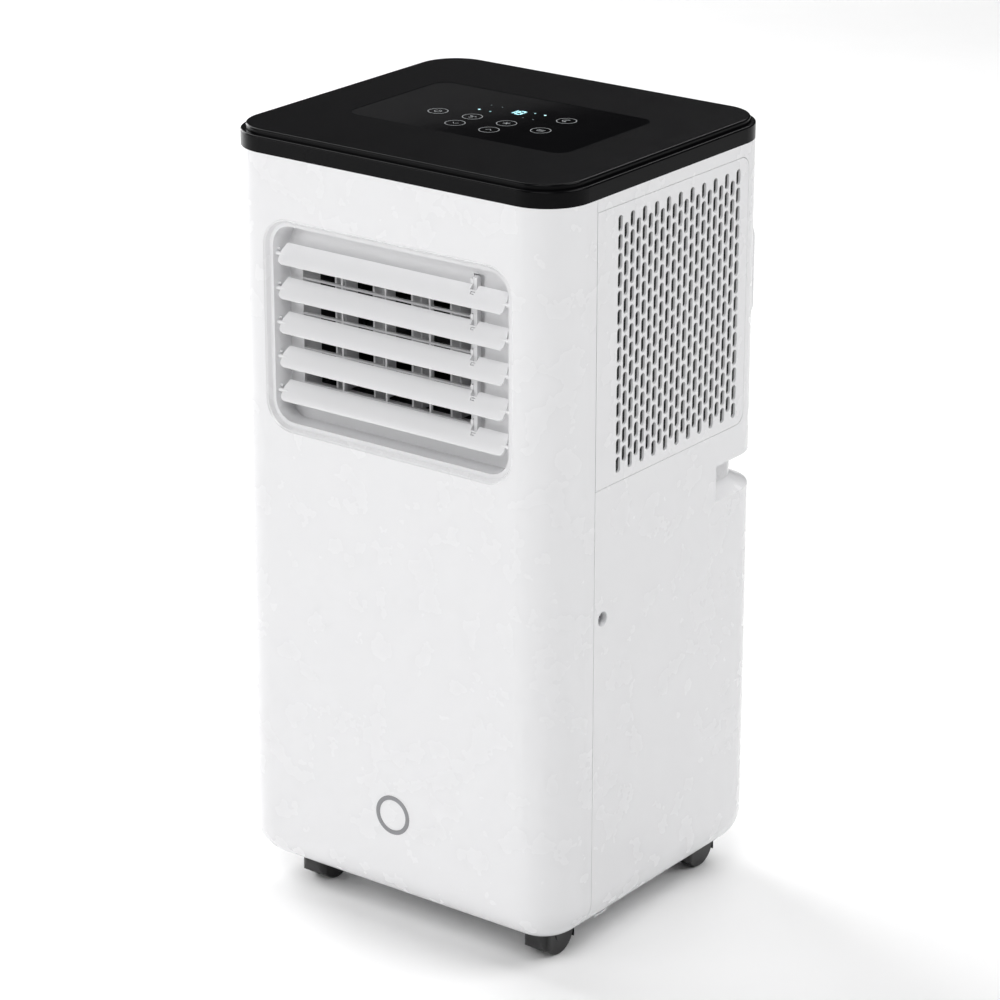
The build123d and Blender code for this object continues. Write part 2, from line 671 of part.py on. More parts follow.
def vane_link():
    """Bar along the top of the vanes' rear edges."""
    y = VANE_Y + VANE_LINK_BACK
    step = WINDOW_Z[1] - 6.6
    limits = (vane_x(0) - 4, vane_x(VANE_COUNT - 1) + 4)
    bar = span(limits, (y - 2.6, y + 2.6), (step + 0.4, step + 0.4 + VANE_LINK_THICK))
    for index in range(VANE_COUNT):
        clearance = RUN_CLEARANCE if index == 0 else CLIP_PIN_CLEARANCE
        bar -= rod("z", (vane_x(index), y), CLIP_PIN_R + clearance, (400, 530))
    return bar


def side_grille():
    """Intake grille with staggered upright slots; its front edge is square, its rear corners round."""
    x = (SIDE_X - GRILLE_THICK, SIDE_X)
    y_low, y_high = GRILLE_Y
    panel = side_block((y_low - 2 * GRILLE_R, y_high), GRILLE_Z, GRILLE_R, x)
    panel -= span((0, 200), (y_low - 50, y_low), (300, 600))
    slots = Sketch()
    for column in range(SLOT_COLUMNS):
        rows = SLOT_ROWS - column % 2
        for row in range(rows):
            y = SLOT_FIRST_Y + column * SLOT_PITCH_Y
            z = SLOT_MID_Z + (row - (rows - 1) / 2) * SLOT_PITCH_Z
            slots += Pos(y, z) * Rot(0, 0, 90) * SlotOverall(SLOT_LENGTH, SLOT_WIDTH)
    return panel - extrude(side_plane(x[0] - 1) * slots, GRILLE_THICK + 2)


def side_filter():
    """Framed dust filter clipped behind the side grille."""
    back = SIDE_X - GRILLE_THICK - 5
    y = (LIP_RANGE[1] + 2.5, GRILLE_Y[1] - LEDGE_WIDTH - 1.5)
    z = (GRILLE_Z[0] + LEDGE_WIDTH + 1.5, GRILLE_Z[1] - LEDGE_WIDTH - 1.5)
    frame = side_block(y, z, 7, (back, SIDE_X - GRILLE_THICK))
    clear_y = (y[0] + 6, y[1] - 6)
    clear_z = (z[0] + 6, z[1] - 6)
    frame -= side_block(clear_y, clear_z, 4, (back, SIDE_X))
    mesh = side_block(y, z, 7, (back + 1, back + 1.8))
    middle = (y[0] + y[1]) / 2
    bar = span((back, back + 3), (middle - 2, middle + 2), z)
    return frame + mesh + bar


def rear_grille():
    """Lower intake grille with level slots, flush in the back wall."""
    y = (REAR_Y - WALL, REAR_Y)
    low, high = REAR_GRILLE_Z
    half_x = REAR_GRILLE_X - 0.3
    panel = front_block((-half_x, half_x), (low + 0.3, high - 0.3), 8, y)
    slots = Sketch()
    rows = int((high - low - 24) / REAR_SLOT_PITCH) + 1
    for row in range(rows):
        for x in (-66, 0, 66):
            slots += Pos(x, low + 14 + row * REAR_SLOT_PITCH) * SlotOverall(58, 5)
    panel -= extrude(front_plane(REAR_Y + 1) * slots, WALL + 2)
    seat = (REAR_Y - WALL - 2, REAR_Y - WALL)
    rim = front_block((-half_x - 4, half_x + 4), (low - 4, high + 4), 10, seat)
    rim -= front_block((-half_x + 4, half_x - 4), (low + 6, high - 6), 6, seat)
    return panel + rim


def exhaust_flange():
    """Rounded rectangular outlet on the back that the hose adapter pushes over."""
    low, high = BOSS_Z
    y = (REAR_Y, REAR_Y + BOSS_OUT)
    boss = front_block((-BOSS_X, BOSS_X), BOSS_Z, BOSS_R, y)
    rear_face = boss.faces().sort_by(Axis.Y)[-1]
    boss = fillet(rear_face.edges(), 2.5)
    inner_x = BOSS_X - BOSS_WALL
    inner_z = (low + BOSS_WALL, high - BOSS_WALL)
    return boss - front_block((-inner_x, inner_x), inner_z, BOSS_R - BOSS_WALL, (y[0] - 1, y[1] + 1))


def exhaust_guard():
    """Guard ribs set inside the exhaust flange."""
    x = BOSS_X - BOSS_WALL
    low, high = BOSS_Z[0] + BOSS_WALL, BOSS_Z[1] - BOSS_WALL
    y = (REAR_Y + 0.2, REAR_Y + 3.2)
    ring = front_block((-x, x), (low, high), BOSS_R - BOSS_WALL, y)
    ring -= front_block((-x + 3, x - 3), (low + 3, high - 3), BOSS_R - BOSS_WALL - 3, y)
    for index in range(17):
        bar_x = -x + (index + 1) * 2 * x / 18
        ring += span((bar_x - 1, bar_x + 1), y, (low + 1, high - 1))
    middle = (low + high) / 2
    return ring + span((-x + 1, x - 1), y, (middle - 1, middle + 1))


def exhaust_duct():
    """Duct from the condenser fan up to the exhaust flange."""
    def run(x, points):
        outline = make_face(Polyline(*points, close=True))
        return extrude(side_plane(x[0]) * outline, x[1] - x[0])

    wall = SCROLL_WALL
    x = (COND_FAN_XZ[0] - 55, COND_FAN_XZ[0] + 55)
    wide = (-BOSS_X + 8, BOSS_X - 8)
    outside = [(54, 258), (94, 258), (94, 312), (129, 340), (129, 420), (90, 420), (90, 345), (54, 312)]
    inside = [(56, 257), (92, 257), (92, 313), (127, 341), (127, 431), (92, 431), (92, 344), (56, 311)]
    riser = run(x, outside)
    core = run((x[0] + wall, x[1] - wall), inside)
    head = span(wide, (90, 130), (418, 512))
    head_core = span((wide[0] + wall, wide[1] - wall), (92, 131), (420, 510))
    return riser + head - head_core - core


def squirrel_cage(radius, length):
    """Forward-curved blower wheel about its own Z axis, from z = 0, with a hub and an inlet ring."""
    blade_root = radius - 9
    cage = Cylinder(radius, 2, align=(Align.CENTER, Align.CENTER, Align.MIN))
    ring = Cylinder(radius, 2) - Cylinder(blade_root, 2)
    cage += Pos(0, 0, length - 1) * ring
    blade = span((blade_root + 0.5, radius - 0.5), (-0.6, 0.6), (1, length - 1))
    blade = Pos(blade_root, 0, 0) * Rot(0, 0, 28) * Pos(-blade_root, 0, 0) * blade
    keep = Cylinder(radius, length * 2) - Cylinder(blade_root - 2, length * 2)
    blade &= keep
    for index in range(BLADE_COUNT):
        cage += Rot(0, 0, 360 * index / BLADE_COUNT) * blade
    hub = Cylinder(SHAFT_R + 5, 16, align=(Align.CENTER, Align.CENTER, Align.MIN))
    return cage + hub


def evaporator_fan_wheel():
    """Blower wheel of the cold side on its shaft."""
    low, high = EVAP_WHEEL_X
    wheel = Pos(low, *EVAP_FAN_YZ) * Rot(0, 90, 0) * squirrel_cage(EVAP_WHEEL_R, high - low)
    return wheel + rod("x", EVAP_FAN_YZ, SHAFT_R, (low - 34, low + 16))


def evaporator_fan_housing():
    """Scroll housing that blows towards the outlet sleeve, open to the coil on its right end."""
    y, z = EVAP_FAN_YZ
    x = (WINDOW_X[0] - 3, WINDOW_X[1] + 3)
    throat = span(x, (SLEEVE_REAR_Y, y), (WINDOW_Z[0] - 3, WINDOW_Z[1] + 3))
    inner_x = (x[0] + SCROLL_WALL, x[1] - SCROLL_WALL)
    housing = rod("x", (y, z), EVAP_SCROLL_R, x) + throat
    housing -= rod("x", (y, z), EVAP_SCROLL_R - SCROLL_WALL, inner_x)
    housing -= span(inner_x, (SLEEVE_REAR_Y - 1, y), (WINDOW_Z[0] - 1, WINDOW_Z[1] + 1))
    housing -= rod("x", (y, z), EVAP_WHEEL_R - 12, (x[1] - 5, x[1] + 1))
    return housing - rod("x", (y, z), SHAFT_R + 6, (x[0] - 1, x[0] + 5))


def motor(length):
    """Fan motor about its own Z axis from z = 0, bored for the shaft."""
    align = (Align.CENTER, Align.CENTER, Align.MIN)
    can = Cylinder(MOTOR_R, length, align=align)
    can = fillet(can.edges().filter_by(GeomType.CIRCLE), 5)
    flange = Cylinder(MOTOR_R + 5, 3, align=align)
    body = can + Pos(0, 0, length / 2 - 1.5) * flange
    return body - Pos(0, 0, length - 24) * Cylinder(SHAFT_R + RUN_CLEARANCE, 30, align=align)


def evaporator_fan_motor():
    """Motor left of the cold blower."""
    return Pos(-138, *EVAP_FAN_YZ) * Rot(0, 90, 0) * motor(42)


def coil(x, y, z, fin_axis):
    """Finned coil block with end plates and hairpin bends."""
    block = span(x, y, z)
    if fin_axis == "y":
        ends = (y[0], y[1])
        for level in range(int((z[1] - z[0]) / 25)):
            height = z[0] + 16 + 25 * level
            block += rod("y", ((x[0] + x[1]) / 2, height), 4, (ends[0] - 6, ends[1] + 6))
    else:
        ends = (x[0], x[1])
        for level in range(int((z[1] - z[0]) / 25)):
            height = z[0] + 16 + 25 * level
            block += rod("x", ((y[0] + y[1]) / 2, height), 4, (ends[0] - 6, ends[1] + 6))
    return block


def evaporator_coil():
    """Cold coil behind the side filter."""
    return coil((112, 136), (-68, 92), (374, 568), "y")


def condenser_coil():
    """Hot coil inside the lower rear grille."""
    return coil((-98, 98), (102, 124), (66, 246), "x")


def condenser_fan_wheel():
    """Blower wheel of the hot side on its shaft, turned so that its inlet faces the coil."""
    low, high = COND_WHEEL_Y
    x, z = COND_FAN_XZ
    wheel = Pos(x, low, z) * Rot(-90, 0, 0) * squirrel_cage(COND_WHEEL_R, high - low)
    return wheel + rod("y", COND_FAN_XZ, SHAFT_R, (low - 28, low + 16))


def condenser_fan_housing():
    """Scroll housing that blows up into the exhaust duct."""
    x, z = COND_FAN_XZ
    y = (52.0, 96.0)
    inner_y = (y[0] + SCROLL_WALL, y[1] - SCROLL_WALL)
    housing = rod("y", (x, z), COND_SCROLL_R, y) + span((x - 55, x + 55), y, (z, 258))
    housing -= rod("y", (x, z), COND_SCROLL_R - SCROLL_WALL, inner_y)
    housing -= span((x - 53, x + 53), inner_y, (z, 260))
    housing -= rod("y", (x, z), COND_WHEEL_R - 12, (y[1] - 5, y[1] + 1))
    return housing - rod("y", (x, z), SHAFT_R + 6, (y[0] - 1, y[0] + 5))


def condenser_fan_motor():
    """Motor in front of the hot blower."""
    x, z = COND_FAN_XZ
    return Pos(x, 8, z) * Rot(-90, 0, 0) * motor(42)


def drain_pan():
    """Shallow pan that catches the cold coil's water."""
    outer = span((84, 140), (-76, 60), (352, 370))
    outer += span((84, 130), (60, PAN_REAR_Y), (352, 370))
    inner = span((86, 138), (-74, 58), (354.5, 371))
    inner += span((86, 128), (58, PAN_REAR_Y - 2), (354.5, 371))
    drain = rod("y", (SPOUT_X, SPOUT_Z), SPOUT_BORE_R, (PAN_REAR_Y - 3, PAN_REAR_Y + 1))
    return outer - inner - drain


def drain_spout():
    """Spout of the continuous drain on the back."""
    y = (PAN_REAR_Y, REAR_Y + SPOUT_LENGTH)
    spout = rod("y", (SPOUT_X, SPOUT_Z), SPOUT_R, (REAR_Y, y[1]))
    spout += rod("y", (SPOUT_X, SPOUT_Z), SPOUT_NECK_R, (y[0], REAR_Y + 1))
    spout += rod("y", (SPOUT_X, SPOUT_Z), SPOUT_R + 4, (REAR_Y - WALL - 2, REAR_Y - WALL))
    return spout - rod("y", (SPOUT_X, SPOUT_Z), SPOUT_BORE_R + RUN_CLEARANCE, (y[0] - 1, y[1] + 1))


def drain_plug():
    """Rubber plug in the spout."""
    end = REAR_Y + SPOUT_LENGTH
    plug = rod("y", (SPOUT_X, SPOUT_Z), SPOUT_BORE_R, (end - 12, end))
    plug += rod("y", (SPOUT_X, SPOUT_Z), SPOUT_BORE_R - 1, (end - 1, end + 1))
    return plug + rod("y", (SPOUT_X, SPOUT_Z), SPOUT_R - 0.5, (end + 0.1, end + 2.6))


def cord_gland():
    """Gland on the back that the mains lead would leave by."""
    gland = rod("y", (GLAND_X, GLAND_Z), GLAND_R, (REAR_Y, REAR_Y + 5))
    gland += rod("y", (GLAND_X, GLAND_Z), GLAND_R - 2, (REAR_Y - 12, REAR_Y + 1))
    return gland - rod("y", (GLAND_X, GLAND_Z), 3.5, (REAR_Y - 13, REAR_Y + 6))


def badge():
    """Plain ring set in the front panel."""
    y = (FRONT_Y - BADGE_OUT / 2, FRONT_Y + BADGE_OUT)
    outer = rod("y", (BADGE_X, BADGE_Z), BADGE_R - 0.05, y)
    return outer - rod("y", (BADGE_X, BADGE_Z), BADGE_R - BADGE_RING + 0.05, (y[0] - 1, y[1] + 1))


def compressor():
    """Hermetic compressor: domed can, foot plate and terminal cover."""
    x, y = COMPRESSOR_XY
    low, high = COMPRESSOR_Z
    can = rod("z", (x, y), COMPRESSOR_R, (low + 6, high))
    can = fillet(can.edges().filter_by(GeomType.CIRCLE), 16)
    plate = Pos(x, y, low) * extrude(RectangleRounded(92, 92, 12), 3)
    skirt = rod("z", (x, y), COMPRESSOR_R - 14, (low + 1, low + 12))
    terminal = span((x - 16, x + 16), (y - COMPRESSOR_R - 8, y - COMPRESSOR_R + 10), (high - 90, high - 54))
    return can + plate + skirt + terminal


def compressor_feet():
    """Four rubber feet between the compressor's plate and the tray."""
    feet = []
    for dx, dy in ((-34, -34), (34, -34), (-34, 34), (34, 34)):
        x = COMPRESSOR_XY[0] + dx
        y = COMPRESSOR_XY[1] + dy
        floor = PAN_Z + TRAY_THICK if x < PAN_X - 8 else BODY_BOTTOM + WALL + TRAY_THICK
        feet.append(rod("z", (x, y), FOOT_R, (floor, COMPRESSOR_Z[0])))
    return feet


def accumulator():
    """Suction accumulator strapped beside the compressor."""
    can = rod("z", (-12, -30), 19, (96, 212))
    can = fillet(can.edges().filter_by(GeomType.CIRCLE), 8)
    return can + span((4, 10), (-36, -24), (120, 134))


def pipe(points, bend):
    """Copper pipe along straight runs joined by bends."""
    path = FilletPolyline(*points, radius=bend)
    profile = Plane(origin=path @ 0, z_dir=path % 0) * Circle(PIPE_R)
    return sweep(profile, path=path)


def refrigerant_pipes():
    """Discharge, liquid and suction pipes between the compressor and the coils."""
    top = COMPRESSOR_Z[1]
    discharge = pipe([(60, -30, top), (60, -30, 282), (60, 113, 282), (60, 113, 246)], 12)
    liquid = pipe([(86, 110, 246), (86, 110, 300), (120, 110, 300), (120, 110, 390), (120, 98, 390)], 7)
    suction = pipe([(-12, -30, 212), (-12, -30, 306), (116, -30, 306), (116, -30, 352)], 10)
    return [discharge, liquid, suction]


def electric_box():
    """Box of the main control board, left of the front."""
    box = span((-138, -62), (-118, -84), (70, 250))
    lid = span((-136, -64), (-84, -82), (72, 248))
    return fillet(box.edges().filter_by(Axis.Z), 4) + lid


def run_capacitor():
    """Run capacitor standing on the electric box."""
    can = rod("z", (-100, -101), 14, (250, 306))
    return can + rod("z", (-100, -101), 3, (306, 312))


def casing_screws():
    """Side screws in their cups, as two separate solids."""
    floor_x = SIDE_X - SCREW_CUP_DEPTH
    screws = []
    for sign in (-1, 1):
        head = rod("x", (SCREW_Y, SCREW_Z), SCREW_HEAD_R, (floor_x, floor_x + 2.6))
        head = fillet(head.edges().sort_by(Axis.X)[-1], 1)
        drive_x = (floor_x + 1.2, floor_x + 5)
        slot = span(drive_x, (SCREW_Y - 0.6, SCREW_Y + 0.6), (SCREW_Z - 2.6, SCREW_Z + 2.6))
        cross = span(drive_x, (SCREW_Y - 2.6, SCREW_Y + 2.6), (SCREW_Z - 0.6, SCREW_Z + 0.6))
        shank = rod("x", (SCREW_Y, SCREW_Z), SCREW_SHANK_R, (floor_x - 12, floor_x + 0.5))
        screw = head + shank - slot - cross
        screws.append(screw if sign > 0 else mirror(screw, Plane.YZ))
    return screws


def caster_hood(x, axle_y):
    """Hood that covers the top and the front of both wheels, with the web that carries the axle."""
    axle = (axle_y, AXLE_Z)
    half = HOOD_WIDTH / 2
    hood = rod("x", axle, HOOD_R, (x - half, x + half))
    hood += rod("z", (x, axle_y - TRAIL), STEM_R + 2, (AXLE_Z + HOOD_INNER_R, WELL_TOP - 0.4))
    hood &= Pos(x, axle_y, 0) * extrude(RectangleRounded(HOOD_WIDTH, 2 * HOOD_R, HOOD_PLAN_R), 40)
    for sign in (-1, 1):
        inner = sorted((x + sign * WEB_HALF, x + sign * (half - CHEEK_THICK)))
        outer = sorted((x + sign * WEB_HALF, x + sign * (half + 1)))
        hood -= rod("x", axle, HOOD_INNER_R, inner)
        open_side = rod("x", axle, HOOD_INNER_R, outer)
        hood -= open_side & span(outer, (axle_y + CHEEK_BACK, axle_y + 40), (0, 40))
    hood -= span((x - half, x + half), (axle_y - 40, axle_y + 40), (0, HOOD_BOTTOM))
    hood -= rod("x", axle, AXLE_R, (x - half, x + half))
    return hood - rod("z", (x, axle_y - TRAIL), STEM_R / 2, (AXLE_Z + 7, WELL_TOP))


def caster_pins(x, axle_y):
    """Stem that turns in the tray's socket, and the axle across the hood's web."""
    stem = rod("z", (x, axle_y - TRAIL), STEM_R, (WELL_TOP - 0.4, STEM_TOP))
    stem = chamfer(stem.edges().sort_by(Axis.Z)[-1], 0.8)
    stem += rod("z", (x, axle_y - TRAIL), STEM_R / 2, (AXLE_Z + 7, WELL_TOP))
    axle = rod("x", (axle_y, AXLE_Z), AXLE_R, (x - WHEEL_OUT + 0.6, x + WHEEL_OUT - 0.6))
    return [stem, axle]


def caster_wheels(x, axle_y):
    """The two wheels of a caster."""
    wheels = []
    for sign in (-1, 1):
        limits = sorted((x + sign * WHEEL_IN, x + sign * WHEEL_OUT))
        wheel = rod("x", (axle_y, AXLE_Z), WHEEL_R, limits)
        rims = wheel.edges().filter_by(GeomType.CIRCLE).sort_by(Axis.X)
        outer_rim = rims[-1] if sign > 0 else rims[0]
        wheel = fillet(outer_rim, WHEEL_EDGE_R)
        cap = sorted((x + sign * (WHEEL_OUT - 1), x + sign * (WHEEL_OUT + HUB_OUT)))
        wheel += rod("x", (axle_y, AXLE_Z), HUB_R, cap)
        bore = sorted((x + sign * (WHEEL_IN - 1), x + sign * (WHEEL_OUT - 0.5)))
        wheels.append(wheel - rod("x", (axle_y, AXLE_Z), AXLE_R + RUN_CLEARANCE, bore))
    return wheels


def build_all():
    """Fill PARTS with every node."""
    single = [front_panel, rear_casing, base_tray, top_rim, top_cover, control_glass, control_board,
              display_module, outlet_frame, outlet_guard, louvre_link, vane_link, side_grille, side_filter,
              rear_grille, exhaust_flange, exhaust_guard, exhaust_duct, drain_spout, drain_plug, cord_gland,
              badge, evaporator_coil, evaporator_fan_wheel, evaporator_fan_housing, evaporator_fan_motor,
              drain_pan, condenser_coil, condenser_fan_wheel, condenser_fan_housing, condenser_fan_motor,
              compressor, compressor_feet, accumulator, refrigerant_pipes, electric_box, run_capacitor,
              casing_screws]
    for make in single:
        PARTS[make.__name__] = make()
    for index in range(LOUVRE_COUNT):
        PARTS[f"louvre_{index + 1}"] = louvre(index)
    for index in range(VANE_COUNT):
        PARTS[f"vane_{index + 1}"] = vane(index)
    for name, x, axle_y in caster_places():
        PARTS[f"caster_{name}_hood"] = caster_hood(x, axle_y)
        PARTS[f"caster_{name}_pins"] = caster_pins(x, axle_y)
        PARTS[f"caster_{name}_wheels"] = caster_wheels(x, axle_y)


def export_all():
    """Move each node to the shared origin and write it."""
    os.makedirs("parts", exist_ok=True)
    for name, shape in PARTS.items():
        solids = shape if isinstance(shape, list) else [shape]
        moved = [CENTRE_SHIFT * solid for piece in solids for solid in piece.solids()]
        node = moved[0] if len(moved) == 1 else Compound(children=moved)
        export_step(node, f"parts/{name}.step")


build_all()
export_all()
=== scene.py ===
import json
import math

import bpy
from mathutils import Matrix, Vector


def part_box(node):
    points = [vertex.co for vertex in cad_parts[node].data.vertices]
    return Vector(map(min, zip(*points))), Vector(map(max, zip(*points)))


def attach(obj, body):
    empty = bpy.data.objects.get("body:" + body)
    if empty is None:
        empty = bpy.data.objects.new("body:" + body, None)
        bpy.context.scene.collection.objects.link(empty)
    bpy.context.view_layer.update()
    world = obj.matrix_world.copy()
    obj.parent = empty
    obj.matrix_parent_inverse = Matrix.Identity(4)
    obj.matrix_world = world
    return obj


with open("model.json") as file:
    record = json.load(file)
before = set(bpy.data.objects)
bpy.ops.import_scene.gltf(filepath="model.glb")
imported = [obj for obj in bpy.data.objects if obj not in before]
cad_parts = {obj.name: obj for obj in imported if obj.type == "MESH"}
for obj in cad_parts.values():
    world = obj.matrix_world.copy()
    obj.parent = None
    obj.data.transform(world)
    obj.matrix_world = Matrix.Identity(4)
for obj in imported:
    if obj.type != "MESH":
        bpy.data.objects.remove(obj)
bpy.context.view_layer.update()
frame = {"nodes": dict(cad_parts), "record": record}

# Metres, in the frame's own axes: +Z up, the louvred front towards -Y, the intake grille on +X.
MM = 0.001
NODES = frame["nodes"]
CASING_HALF_DEPTH = 133 * MM
GLASS_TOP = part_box("control_glass")[1].z
BODY_CENTRE_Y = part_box("front_panel")[0].y + CASING_HALF_DEPTH

# Camera: where it stands about the machine, and the point it looks at
CAMERA_AZIMUTH = 36.985
CAMERA_ELEVATION = 20.591
CAMERA_DISTANCE = 2.77488
CAMERA_TARGET = Vector((0.01035, -0.02743, 0.3099))
CAMERA_LENS = 134.52
CAMERA_SENSOR = 36
CAMERA_REACH = 60


# ---------------------------------------------------------------- materials

RAMP_START = 0.3
RAMP_END = 0.7
BLOTCH_DETAIL = 4
GLOSS_FINENESS = 3
GLOSS_DETAIL = 3
GRAIN_DETAIL = 2
BUMP_STRENGTH = 1.0
COAT_ROUGHNESS = 0.08
GLOW_SCALE = 700
GLOW_DETAIL = 2
GLOW_LOW = 0.9
GLOW_ROUGHNESS = 0.4


def start_material(name):
    """New node material; returns it with its tree and shader."""
    material = bpy.data.materials.new(name)
    material.use_nodes = True
    tree = material.node_tree
    return material, tree, tree.nodes["Principled BSDF"]


def object_noise(tree, scale, detail):
    """Noise over the object's own coordinates."""
    place = tree.nodes.new("ShaderNodeTexCoord")
    noise = tree.nodes.new("ShaderNodeTexNoise")
    noise.inputs["Scale"].default_value = scale
    noise.inputs["Detail"].default_value = detail
    tree.links.new(place.outputs["Object"], noise.inputs["Vector"])
    return noise.outputs["Fac"]


def ramp_between(tree, factor, low, high):
    """Colour that runs from low to high as the factor crosses its middle range."""
    ramp = tree.nodes.new("ShaderNodeValToRGB")
    ramp.color_ramp.elements[0].position = RAMP_START
    ramp.color_ramp.elements[1].position = RAMP_END
    ramp.color_ramp.elements[0].color = (*low, 1)
    ramp.color_ramp.elements[1].color = (*high, 1)
    tree.links.new(factor, ramp.inputs["Fac"])
    return ramp.outputs["Color"]


def range_between(tree, factor, low, high):
    """Number that runs from low to high as the factor crosses its middle range."""
    node = tree.nodes.new("ShaderNodeMapRange")
    node.inputs["From Min"].default_value = RAMP_START
    node.inputs["From Max"].default_value = RAMP_END
    node.inputs["To Min"].default_value = low
    node.inputs["To Max"].default_value = high
    tree.links.new(factor, node.inputs["Value"])
    return node.outputs["Result"]


def add_bump(tree, shader, height, distance):
    """Fine relief on the shader's normal."""
    bump = tree.nodes.new("ShaderNodeBump")
    bump.inputs["Strength"].default_value = BUMP_STRENGTH
    bump.inputs["Distance"].default_value = distance
    tree.links.new(height, bump.inputs["Height"])
    tree.links.new(bump.outputs["Normal"], shader.inputs["Normal"])


def moulded(name, colour, rough, grain=1400, depth=0.00001, spread=0.015, rough_spread=0.04,
            coat=0.0, metallic=0.0, specular=0.5, blotch=14):
    """Moulded or painted surface: faint colour blotches, uneven gloss and a fine grain."""
    material, tree, shader = start_material(name)
    broad = object_noise(tree, blotch, BLOTCH_DETAIL)
    low = [channel * (1 - spread) for channel in colour]
    high = [min(1, channel * (1 + spread)) for channel in colour]
    tree.links.new(ramp_between(tree, broad, low, high), shader.inputs["Base Color"])
    uneven = object_noise(tree, blotch * GLOSS_FINENESS, GLOSS_DETAIL)
    gloss = range_between(tree, uneven, rough - rough_spread, rough + rough_spread)
    tree.links.new(gloss, shader.inputs["Roughness"])
    shader.inputs["Metallic"].default_value = metallic
    shader.inputs["Specular IOR Level"].default_value = specular
    shader.inputs["Coat Weight"].default_value = coat
    shader.inputs["Coat Roughness"].default_value = COAT_ROUGHNESS
    add_bump(tree, shader, object_noise(tree, grain, GRAIN_DETAIL), depth)
    return material


def glowing(name, colour, strength):
    """Lit segment with a slightly uneven glow."""
    material, tree, shader = start_material(name)
    uneven = object_noise(tree, GLOW_SCALE, GLOW_DETAIL)
    colours = ramp_between(tree, uneven, [channel * GLOW_LOW for channel in colour], colour)
    tree.links.new(colours, shader.inputs["Emission Color"])
    tree.links.new(colours, shader.inputs["Base Color"])
    shader.inputs["Emission Strength"].default_value = strength
    shader.inputs["Roughness"].default_value = GLOW_ROUGHNESS
    return material


EVEN_WHITE = {"depth": 0.000002, "spread": 0.003, "rough_spread": 0.01}
MATERIALS = {
    "white_casing": moulded("casing_white", (0.80, 0.80, 0.81), 0.27, coat=0.25, **EVEN_WHITE),
    "white_trim": moulded("trim_white", (0.74, 0.74, 0.75), 0.42, depth=0.000003, spread=0.004,
                          rough_spread=0.015),
    "louvre_white": moulded("blade_white", (0.80, 0.80, 0.81), 0.30, coat=0.15, **EVEN_WHITE),
    "grey_plastic": moulded("guard_grey", (0.66, 0.66, 0.67), 0.42),
    "black_gloss": moulded("top_black", (0.0030, 0.0030, 0.0034), 0.22, depth=0.000001,
                           rough_spread=0.01, specular=0.08),
    "control_glass": moulded("touch_glass", (0.002, 0.002, 0.0024), 0.05, depth=0.0000002,
                             rough_spread=0.01, specular=0.35),
    "dark_plastic": moulded("inner_black", (0.012, 0.012, 0.013), 0.55),
    "circuit_board": moulded("board_green", (0.02, 0.10, 0.04), 0.4),
    "caster_black": moulded("nylon_black", (0.009, 0.009, 0.0095), 0.36, depth=0.00002),
    "steel": moulded("zinc_steel", (0.42, 0.42, 0.44), 0.32, metallic=1.0),
    "badge_metal": moulded("badge_satin", (0.26, 0.26, 0.27), 0.34, metallic=0.9, grain=2500),
    "painted_steel": moulded("painted_black", (0.012, 0.012, 0.013), 0.4),
    "rubber": moulded("rubber_black", (0.014, 0.014, 0.015), 0.75, depth=0.00004),
    "fin_aluminium": moulded("fin_bright", (0.45, 0.46, 0.47), 0.4, metallic=1.0),
    "copper": moulded("copper_tube", (0.60, 0.27, 0.14), 0.3, metallic=1.0),
}
DARK_NODES = ("side_filter",)


def paint_nodes():
    """Every carried-over node takes the material of its slot; the filter is dark behind its grille."""
    for part in frame["record"]["subparts"]:
        mesh = NODES[part["node"]].data
        slot = "dark_plastic" if part["node"] in DARK_NODES else part["material_slot"]
        mesh.materials.clear()
        mesh.materials.append(MATERIALS[slot])


# ---------------------------------------------------------------- helpers for pieces

def add_mesh(name, vertices, faces, material, body):
    """New flat-shaded piece from plain mesh data, riding on a body."""
    mesh = bpy.data.meshes.new(name)
    mesh.from_pydata([tuple(v) for v in vertices], [], faces)
    mesh.update()
    piece = bpy.data.objects.new(name, mesh)
    bpy.context.scene.collection.objects.link(piece)
    mesh.materials.append(material)
    for polygon in mesh.polygons:
        polygon.use_smooth = False
    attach(piece, body)
    return piece


def ribbon(points, width, closed=False):
    """Flat ribbon along 2-D points: returns its vertices and quads."""
    vertices = []
    faces = []
    count = len(points)
    for index, point in enumerate(points):
        before = points[index - 1] if closed or index > 0 else point
        after = points[(index + 1) % count] if closed or index < count - 1 else point
        along = (Vector(after) - Vector(before)).normalized()
        side = Vector((-along.y, along.x)) * width / 2
        vertices += [Vector(point) + side, Vector(point) - side]
    for index in range(count if closed else count - 1):
        a = 2 * index
        b = 2 * ((index + 1) % count)
        faces.append((a + 1, b + 1, b, a))
    return vertices, faces


def arc_points(centre, radius, start, end, steps=32):
    """Points along an arc, angles in degrees."""
    points = []
    for step in range(steps + 1):
        angle = math.radians(start + (end - start) * step / steps)
        points.append((centre[0] + radius * math.cos(angle), centre[1] + radius * math.sin(angle)))
    return points


def ring_points(radius, corners):
    """Points of a closed ring about the origin, without the repeated last one."""
    return arc_points((0, 0), radius, 0, 360 - 360 / corners, corners - 1)


def polar(radius, angle):
    """Point at an angle in degrees about the origin."""
    turn = math.radians(angle)
    return radius * math.cos(turn), radius * math.sin(turn)


# ---------------------------------------------------------------- control panel

